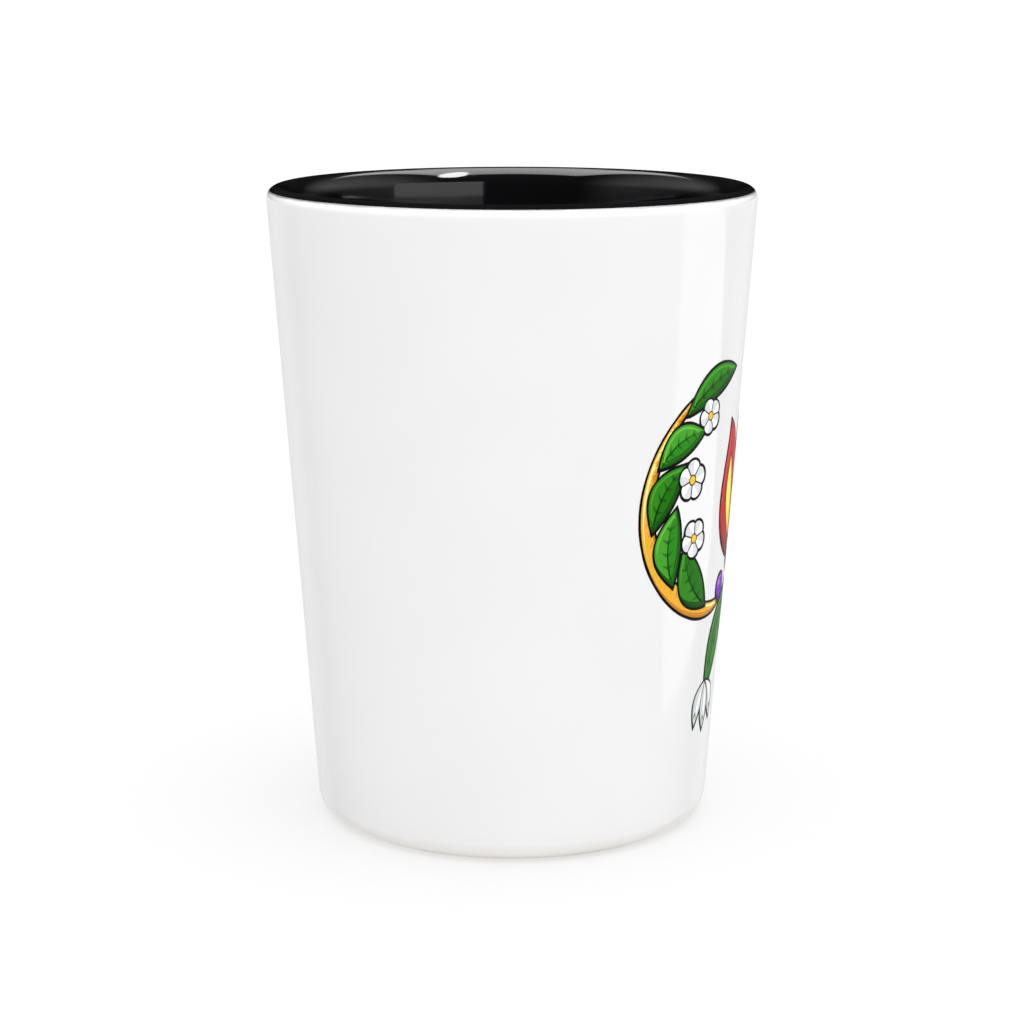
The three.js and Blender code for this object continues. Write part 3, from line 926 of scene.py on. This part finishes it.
grown = [grow(drawn[0], printing["outline"]) for _, _, drawn in drawing]
cutters = [cutPlate("cutter", outline, -1, 1) for outline in grown]
for place, (nodeName, ink, (outline, lay)) in enumerate(drawing):
    plate = cutPlate(pieceName(nodeName), outline, 0, printing["film"])
    for front in range(place + 1, len(drawing)):
        if overlap(outline, grown[front]):
            applyModifier(plate, "BOOLEAN", operation="DIFFERENCE", solver="EXACT", object=cutters[front])
    cutGrid(plate, printing["grid"])
    layInk(plate, printing["colorLift"], outline, lay)
    finishPiece(plate, inkMaterials[ink], inkSlots[ink], nodeName)
for cutter in cutters:
    bpy.data.objects.remove(cutter)
print("colours printed")

underprint = cutPlate("blackUnderprint", grown[0], 0, printing["film"])
for outline in grown[1:]:
    part = cutPlate("part", outline, 0, printing["film"])
    applyModifier(underprint, "BOOLEAN", operation="UNION", solver="EXACT", object=part)
    bpy.data.objects.remove(part)
cutGrid(underprint, printing["grid"])
layInk(underprint, printing["blackLift"])
finishPiece(underprint, makeBlackInk(), "black_ink", "black_underprint")
print("black printed")


# the studio: a white floor without end, a bright dome, and cards that only reflections see

studio = {
    "floorSize": 80,
    "floorTone": 0.205,
    "floorGlow": 0.63,  # keeps the shadow on the floor as faint as on lit paper
    "background": 1.0,
    # light from the dome by height, from the horizon to overhead, and how it leans
    "fall": ((0.0, 0.12), (0.17, 0.14), (0.26, 0.9), (0.57, 1.53), (0.82, 2.42), (1.0, 3.6)),
    "lean": (0.2, -0.2),  # to the right, and to the front
    "below": 1.06,  # the floor as the light sees it
    "behind": 0.76,  # what the glaze mirrors below the horizon, behind the cup
    "beside": 0.26,  # and everywhere else below it
    "strip": {"x": 0.6, "corners": ((-0.1, 0.1), (0.07, 0.1), (0.53, -0.2), (0, -0.228)),
              "strength": 1.15, "softSide": (-0.1, -0.03), "rounding": 0.05},
    # name, azimuths from the front to the right, elevations, droop to the right, strength, shape
    "cards": [
        ("frontSoftbox", (15.8, 67), (8.45, 22), 1.3, 1.4, "grid"),
        ("frontLamp", (30, 48.5), (39, 61), 0, 22, "round"),
        ("leftSpill", (-83, -73), (2, 7), 0, 0.6, "grid"),
        ("sideSpill", (101, 108), (1, 4), 0, 1.4, "grid"),
    ],
    "cardDistance": 1.4,
    "cardSoftness": 0.05,  # share of a card's height over which its lower edge fades
}


def hideFromAllButGloss(card):
    card.visible_camera = False
    card.visible_diffuse = False
    card.visible_shadow = False
    card.visible_transmission = False
    card.visible_volume_scatter = False


def makeCardMaterial(name, strength, fadeIn):  # fadeIn: what to fade by, from where, to where
    material, nodes = newMaterial(name)
    kind, output, axis, low, high = fadeIn
    place = nodes.add(kind).outputs[output]
    across = nodes.add("ShaderNodeSeparateXYZ", {"Vector": place}).outputs[axis]
    mix = nodes.add("ShaderNodeMixShader", {0: nodes.fade(across, low, high)})
    nodes.feed(mix.inputs[1], nodes.add("ShaderNodeBsdfTransparent").outputs[0])
    nodes.feed(mix.inputs[2], nodes.add("ShaderNodeEmission", {"Strength": strength}).outputs[0])
    nodes.add("ShaderNodeOutputMaterial", {"Surface": mix.outputs[0]})
    material.cycles.emission_sampling = "NONE"
    return material


def addStripCard():
    strip = studio["strip"]
    clearSelection()
    bpy.ops.mesh.primitive_circle_add(vertices=4, fill_type="NGON")
    card = bpy.context.object
    card.name = "stripCard"
    for vertex, corner in zip(card.data.vertices, strip["corners"]):
        vertex.co = (strip["x"], *corner)
    editAll(card)
    bpy.ops.mesh.bevel(offset=strip["rounding"], segments=8, affect="VERTICES")
    bpy.ops.object.mode_set(mode="OBJECT")
    fadeIn = ("ShaderNodeTexCoord", "Object", "Y", *strip["softSide"])
    card.data.materials.append(makeCardMaterial("stripGlow", strip["strength"], fadeIn))
    hideFromAllButGloss(card)


def addCard(name, azimuths, elevations, droop, strength, shape):  # part of a dome round the cup
    distance = studio["cardDistance"]
    clearSelection()
    if shape == "round":
        bpy.ops.mesh.primitive_circle_add(vertices=32, radius=0.5, fill_type="TRIFAN", calc_uvs=True)
    else:
        bpy.ops.mesh.primitive_grid_add(x_subdivisions=12, y_subdivisions=8, size=1, calc_uvs=True)
    card = bpy.context.object
    card.name = name
    for vertex in card.data.vertices:
        across, up = vertex.co.x + 0.5, vertex.co.y + 0.5
        azimuth = math.radians(azimuths[0] + across * (azimuths[1] - azimuths[0]))
        elevation = math.radians(elevations[0] + up * (elevations[1] - elevations[0]) - droop * across)
        flat = distance * math.cos(elevation)
        vertex.co = (flat * math.sin(azimuth), -flat * math.cos(azimuth), distance * math.sin(elevation))
    fadeIn = ("ShaderNodeUVMap", "UV", "Y", 0.0, studio["cardSoftness"])
    card.data.materials.append(makeCardMaterial(name + "Glow", strength, fadeIn))
    hideFromAllButGloss(card)


def addFloor():
    clearSelection()
    bpy.ops.mesh.primitive_plane_add(size=studio["floorSize"], location=(0, 0, -0.01 * mm))
    floor = bpy.context.object
    floor.name = "floor"
    material, nodes = newMaterial("floorPaper")
    place = nodes.add("ShaderNodeTexCoord").outputs["Object"]
    fleck = nodes.add("ShaderNodeTexNoise", {"Vector": place, "Scale": 60, "Detail": 3}).outputs["Fac"]
    tone = studio["floorTone"]
    color = nodes.mix(fleck, (tone * 0.995, tone * 0.995, tone * 0.995, 1), (tone, tone, tone, 1))
    closeMaterial(nodes, Base_Color=color, Roughness=1.0, Specular_IOR_Level=0.0,
                  Emission_Color=(1, 1, 1, 1), Emission_Strength=studio["floorGlow"])
    material.cycles.emission_sampling = "NONE"
    floor.data.materials.append(material)
    floor.visible_glossy = False


def makeWorld():
    world = bpy.data.worlds.new("studioDome")
    bpy.context.scene.world = world
    world.use_nodes = True
    world.node_tree.nodes.clear()
    nodes = Nodes(world.node_tree)
    x, y, z = nodes.split(nodes.add("ShaderNodeTexCoord").outputs["Generated"])
    # light that falls on things: strongest from overhead, a little more from the right
    fall = nodes.ramp(z, studio["fall"])
    lean = nodes.plus(nodes.times(x, studio["lean"][0]), nodes.times(y, studio["lean"][1]))
    below = nodes.fade(z, -0.02, 0.0, 1.0, 0.0)
    lightFall = nodes.times(fall, nodes.plus(1.0, lean))
    lightFall = nodes.plus(nodes.times(below, studio["below"]), lightFall)
    # what the glaze mirrors: one wide softbox overhead, on an arc from the horizon behind (0) over
    # the top to the horizon in front (1), curving back and narrowing to both sides
    arc = nodes.math("DIVIDE", nodes.math("ARCTAN2", z, y), math.pi)
    aside = nodes.times(x, x)
    drop = nodes.fade(aside, 0.2, 0.72, 0.0, 0.5)
    rearDrop = nodes.plus(nodes.times(drop, 0.45), nodes.times(aside, 0.25))
    fromRear = nodes.plus(arc, rearDrop)
    fromFront = nodes.plus(arc, drop)
    box = nodes.times(nodes.fade(fromRear, 0.535, 0.575), nodes.fade(fromFront, 0.724, 0.707))
    box = nodes.times(box, nodes.fade(aside, 0.56, 0.42))
    overhead = nodes.times(box, nodes.fade(fromFront, 0.57, 0.73, 7.0, 5.0))
    above = nodes.fade(z, 0.0, 0.3)
    sides = nodes.fade(aside, 0.3, 0.85, 0.02, 0.9)
    under = nodes.fade(y, 0.5, 0.85, studio["beside"], studio["behind"])
    overhead = nodes.times(nodes.plus(overhead, sides), above)
    mirrored = nodes.plus(nodes.times(below, under), overhead)
    path = nodes.add("ShaderNodeLightPath")
    seen = nodes.mix(path.outputs["Is Glossy Ray"], lightFall, mirrored)
    seen = nodes.mix(path.outputs["Is Camera Ray"], seen, (*[studio["background"]] * 3, 1))
    background = nodes.add("ShaderNodeBackground", {"Color": seen, "Strength": 1.0}).outputs[0]
    nodes.add("ShaderNodeOutputWorld", {"Surface": background})


view = {"lens": 85.8, "sensor": 36, "place": (0, -0.22868, 0.07843), "tiltDown": 12.264}


def addCamera():
    camera = bpy.data.objects.new("camera", bpy.data.cameras.new("camera"))
    bpy.context.scene.collection.objects.link(camera)
    camera.data.lens = view["lens"]
    camera.data.sensor_width = view["sensor"]
    camera.data.clip_start = 0.01
    camera.location = view["place"]
    camera.rotation_euler = (math.radians(90 - view["tiltDown"]), 0, 0)
    bpy.context.scene.camera = camera


addFloor()
addStripCard()
for card in studio["cards"]:
    addCard(*card)
makeWorld()
addCamera()
bpy.context.scene.view_settings.view_transform = "Standard"
print("studio set")
